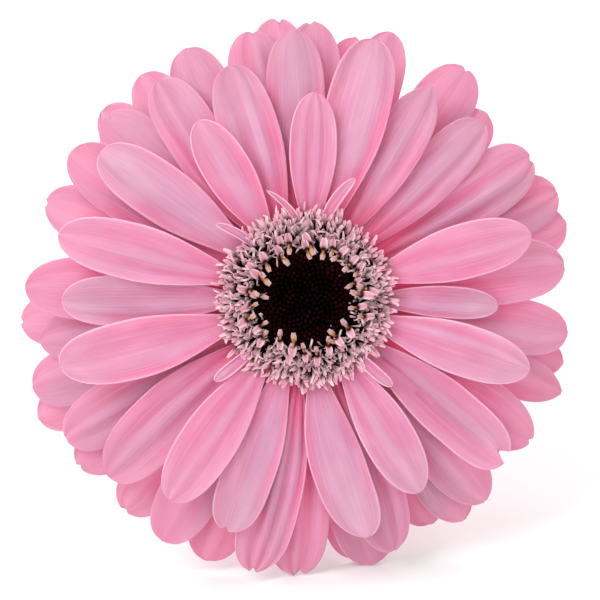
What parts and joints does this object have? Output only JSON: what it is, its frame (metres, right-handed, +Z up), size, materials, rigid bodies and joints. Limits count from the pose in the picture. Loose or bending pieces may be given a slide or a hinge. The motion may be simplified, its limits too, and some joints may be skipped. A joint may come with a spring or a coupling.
{
  "type": "cut gerbera flower",
  "caption": "Cut gerbera laid on a table: layered pink ray florets round a ring of small florets and a dark eye, with a cup of green bracts and a long bare curved stem.",
  "frame": {"origin": "on the surface that the flower lies on, under the middle of its bounding box", "axes": "+Z up; the stem runs along +Y away from the head, and the face looks towards -Y, 22 degrees above level"},
  "size_m": [0.1106, 0.2376, 0.1032],
  "materials": {
    "petal": "soft satin, veined",
    "floret": "soft matte",
    "bud": "matte, velvety",
    "bract": "matte, downy",
    "stem": "satin, finely haired"
  },
  "bodies": {
    "root": {"stem": "stem", "receptacle": "bract", "involucre": "bract", "bud_eye": "bud", "floret_ring": "floret", "ray_front_01": "petal", "ray_front_02": "petal", "ray_front_03": "petal", "ray_front_04": "petal", "ray_front_05": "petal", "ray_front_06": "petal", "ray_front_07": "petal", "ray_front_08": "petal", "ray_front_09": "petal", "ray_front_10": "petal", "ray_front_11": "petal", "ray_front_12": "petal", "ray_front_13": "petal", "ray_front_14": "petal", "ray_middle_01": "petal", "ray_middle_02": "petal", "ray_middle_03": "petal", "ray_middle_04": "petal", "ray_middle_05": "petal", "ray_middle_06": "petal", "ray_middle_07": "petal", "ray_middle_08": "petal", "ray_middle_09": "petal", "ray_middle_10": "petal", "ray_middle_11": "petal", "ray_middle_12": "petal", "ray_middle_13": "petal", "ray_middle_14": "petal", "ray_middle_15": "petal", "ray_middle_16": "petal", "ray_middle_17": "petal", "ray_middle_18": "petal", "ray_middle_19": "petal", "ray_back_01": "petal", "ray_back_02": "petal", "ray_back_03": "petal", "ray_back_04": "petal", "ray_back_05": "petal", "ray_back_06": "petal", "ray_back_07": "petal", "ray_back_08": "petal", "ray_back_09": "petal", "ray_back_10": "petal", "ray_back_11": "petal", "ray_back_12": "petal", "ray_back_13": "petal", "ray_back_14": "petal", "ray_back_15": "petal", "ray_back_16": "petal", "ray_back_17": "petal", "ray_back_18": "petal", "ray_back_19": "petal", "ray_back_20": "petal", "ray_back_21": "petal", "ray_back_22": "petal"}
  },
  "joints": []
}
